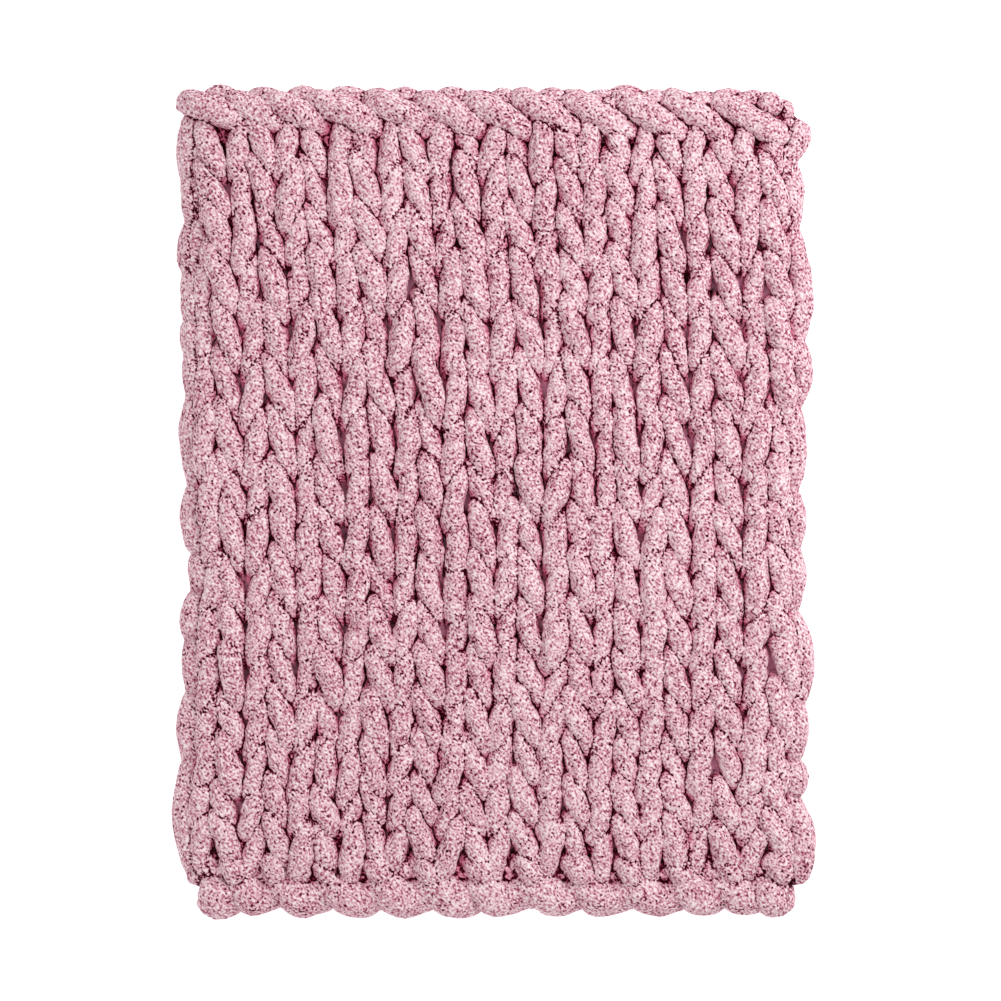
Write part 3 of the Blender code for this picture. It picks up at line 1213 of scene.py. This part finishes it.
@dataclass(frozen=True)
class Blanket:
    """The whole blanket, in bands of courses and its two finished ends."""

    plan: KnitPlan
    lie: Lie
    uneven: Unevenness
    courses_a_band: int = 3
    fine_step: float = 2.6
    coarse_step: float = 6.0
    hidden_height: float = 14.0
    seen_height: float = 22.0
    fill: float = 0.7
    strand_gap: float = 1e6
    chain_lows: tuple[float, ...] = (
        -242.5, -201.8, -168.0, -111.8, -59.5, -15.0, 33.4, 80.8, 130.2, 180.5, 226.0, 272.5,
    )
    cast_on_lows: tuple[float, ...] = (
        -263.0, -231.0, -183.0, -132.0, -88.0, -34.0, 6.0, 64.0, 106.0, 159.0, 203.0, 243.0, 273.0,
    )
    loop_lows: tuple[float, ...] = (
        -244.0, -206.0, -152.0, -102.0, -54.0, -4.0, 42.0, 92.0, 140.0, 188.0, 236.0, 285.0,
    )

    def strands(self) -> list[Strand]:
        """All the yarn of the blanket, in the order in which it is knitted."""
        stitch = StockingStitch(self.plan, self.lie, self.uneven)
        found: list[Strand] = []
        start = 0.0
        for first in range(0, self.plan.courses, self.courses_a_band):
            last = min(first + self.courses_a_band, self.plan.courses)
            strand = stitch.band(f"courses_{first + 1}_{last}", range(first, last), start)
            start = float(strand.travelled[-1])
            found.append(strand)
        ends = (-290.0, 290.0)
        chain = EdgeRope(
            "cast_off_chain", self.chain_lows, 376.5, 367.5, 9.5, 16.0, 31.0, 23.0, 12.0, 13.8,
            (-296.0, 299.0), 5
        )
        chain_back = EdgeWave(
            "cast_off_back", self.chain_lows, 386.0, 381.0, 5.0, 17.0, 3.0, 12.0, ends
        )
        cast_on = EdgeRope(
            "cast_on_edge", self.cast_on_lows, -378.5, -378.5, 4.6, 4.6, -4.0, 19.5, 4.0, 19.0,
            ends, 6
        )
        cast_on_upper = EdgeRope(
            "cast_on_upper", self.loop_lows, -355.0, -355.0, 7.0, 7.0, -8.0, 23.0, 8.0, 12.8,
            (-284.0, 284.0), 8
        )
        tops = tuple(line[0] for line in self.plan.wale_lines)
        bottoms = tuple(line[2] for line in self.plan.wale_lines)
        chain_under = EdgeWave("cast_off_under", tops, 347.0, 347.0, 14.0, 14.0, 0.0, 14.5, ends)
        cast_on_under = EdgeWave(
            "cast_on_under", bottoms, -346.0, -346.0, 13.0, 16.0, 0.0, 15.0, ends
        )
        ropes = (chain, chain_back, chain_under, cast_on, cast_on_upper, cast_on_under)
        for number, rope in enumerate(ropes):
            found.append(rope.strand(self.strand_gap * (number + 1)))
        left = SelvageRun("selvage_left", -1.0, self.lie.left_lobes, (-373.0, 377.0))
        right = SelvageRun("selvage_right", 1.0, self.lie.right_lobes, (-372.0, 371.0))
        found.append(left.strand(self.lie, 8 * self.strand_gap))
        found.append(right.strand(self.lie, 9 * self.strand_gap))
        return [self._finished(strand) for strand in found]

    def _finished(self, strand: Strand) -> Strand:
        """A strand with its points redrawn and its ends rounded."""
        redrawn = strand.resampled(
            self.fine_step, self.coarse_step, self.hidden_height, self.seen_height
        )
        return redrawn.round_ended()

    def build(self, finish: ChenilleFinish) -> None:
        """Make and dress every piece, and tie it to the frame.

        Args:
            finish: What the yarn is finished in.
        """
        material = finish.material()
        strands = self.strands()
        total = 0
        for strand, skin in zip(strands, Spinner(tuple(strands)).skins(SEED)):
            piece = skin.piece()
            piece.data.materials.append(material)
            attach(piece, BODY)
            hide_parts(CAD_NODE)
            piece.data.calc_loop_triangles()
            faces = len(piece.data.loop_triangles)
            total += faces
            length = strand.steps.sum() * MM
            LOG.info("%s: %d triangles, %.1f m of yarn", piece.name, faces, length)
        LOG.info("all yarn: %d triangles", total)


# The studio


@dataclass(frozen=True)
class Studio:
    """Plain pale floor, soft light from the upper right, camera above."""

    floor_half: float = 9.0
    picture_width: float = 0.969
    picture_centre: tuple[float, float] = (0.0068, 0.0010)
    picture_level: float = 0.020
    lens: float = 85.0
    sensor: float = 36.0
    floor_glow: float = 0.45
    world_strength: float = 0.68
    key_power: float = 30.0
    fill_power: float = 8.0

    def floor(self) -> None:
        """A wide flat floor of matt near-white."""
        half = self.floor_half
        corners = [(-half, -half, 0.0), (half, -half, 0.0), (half, half, 0.0), (-half, half, 0.0)]
        mesh = bpy.data.meshes.new("floor")
        mesh.from_pydata(corners, [], [(0, 1, 2, 3)])
        material = bpy.data.materials.new("floor_paper")
        board = Board(material)
        shader = board.add(
            "ShaderNodeBsdfPrincipled",
            {},
            {
                "Base Color": tint(0.93, 0.93, 0.93),
                "Roughness": 0.9,
                "Emission Color": tint(1.0, 1.0, 1.0),
                "Emission Strength": self.floor_glow,
            },
        )
        board.add("ShaderNodeOutputMaterial", {}, {"Surface": shader.outputs["BSDF"]})
        mesh.materials.append(material)
        floor = bpy.data.objects.new("floor", mesh)
        bpy.context.scene.collection.objects.link(floor)

    def camera(self) -> None:
        """A camera straight above, square to the blanket."""
        data = bpy.data.cameras.new("camera")
        data.lens = self.lens
        data.sensor_width = self.sensor
        data.sensor_fit = "HORIZONTAL"
        camera = bpy.data.objects.new("camera", data)
        distance = self.picture_width * self.lens / self.sensor
        camera.location = (*self.picture_centre, self.picture_level + distance)
        bpy.context.scene.collection.objects.link(camera)
        bpy.context.scene.camera = camera

    def _lamp(self, name: str, place: tuple[float, float, float], size: float, power: float) -> None:
        """A square soft box that faces the middle of the blanket."""
        data = bpy.data.lights.new(name, "AREA")
        data.shape = "SQUARE"
        data.size = size
        data.energy = power
        lamp = bpy.data.objects.new(name, data)
        x, y, z = place
        lamp.location = place
        lamp.rotation_euler = (math.atan2(math.hypot(x, y), z), 0.0, math.atan2(y, x) + math.pi / 2)
        bpy.context.scene.collection.objects.link(lamp)

    def light(self) -> None:
        """An even white surround, a large key light and a weak fill."""
        scene = bpy.context.scene
        world = bpy.data.worlds.new("studio_air")
        world.use_nodes = True
        background = world.node_tree.nodes["Background"]
        background.inputs["Color"].default_value = tint(1.0, 1.0, 1.0)
        background.inputs["Strength"].default_value = self.world_strength
        scene.world = world
        self._lamp("key_light", (1.3, 1.0, 1.5), 1.2, self.key_power)
        self._lamp("fill_light", (-1.2, -0.9, 1.8), 1.5, self.fill_power)
        scene.view_settings.view_transform = "Standard"
        scene.view_settings.look = "None"


def main() -> None:
    """Build the studio and the blanket."""
    logging.basicConfig(level=logging.INFO, format="%(name)s: %(message)s")
    studio = Studio()
    studio.camera()
    studio.floor()
    studio.light()
    plan = KnitPlan()
    blanket = Blanket(plan, Lie(), Unevenness(plan, SEED))
    blanket.build(ChenilleFinish())


if __name__ == "__main__":
    main()
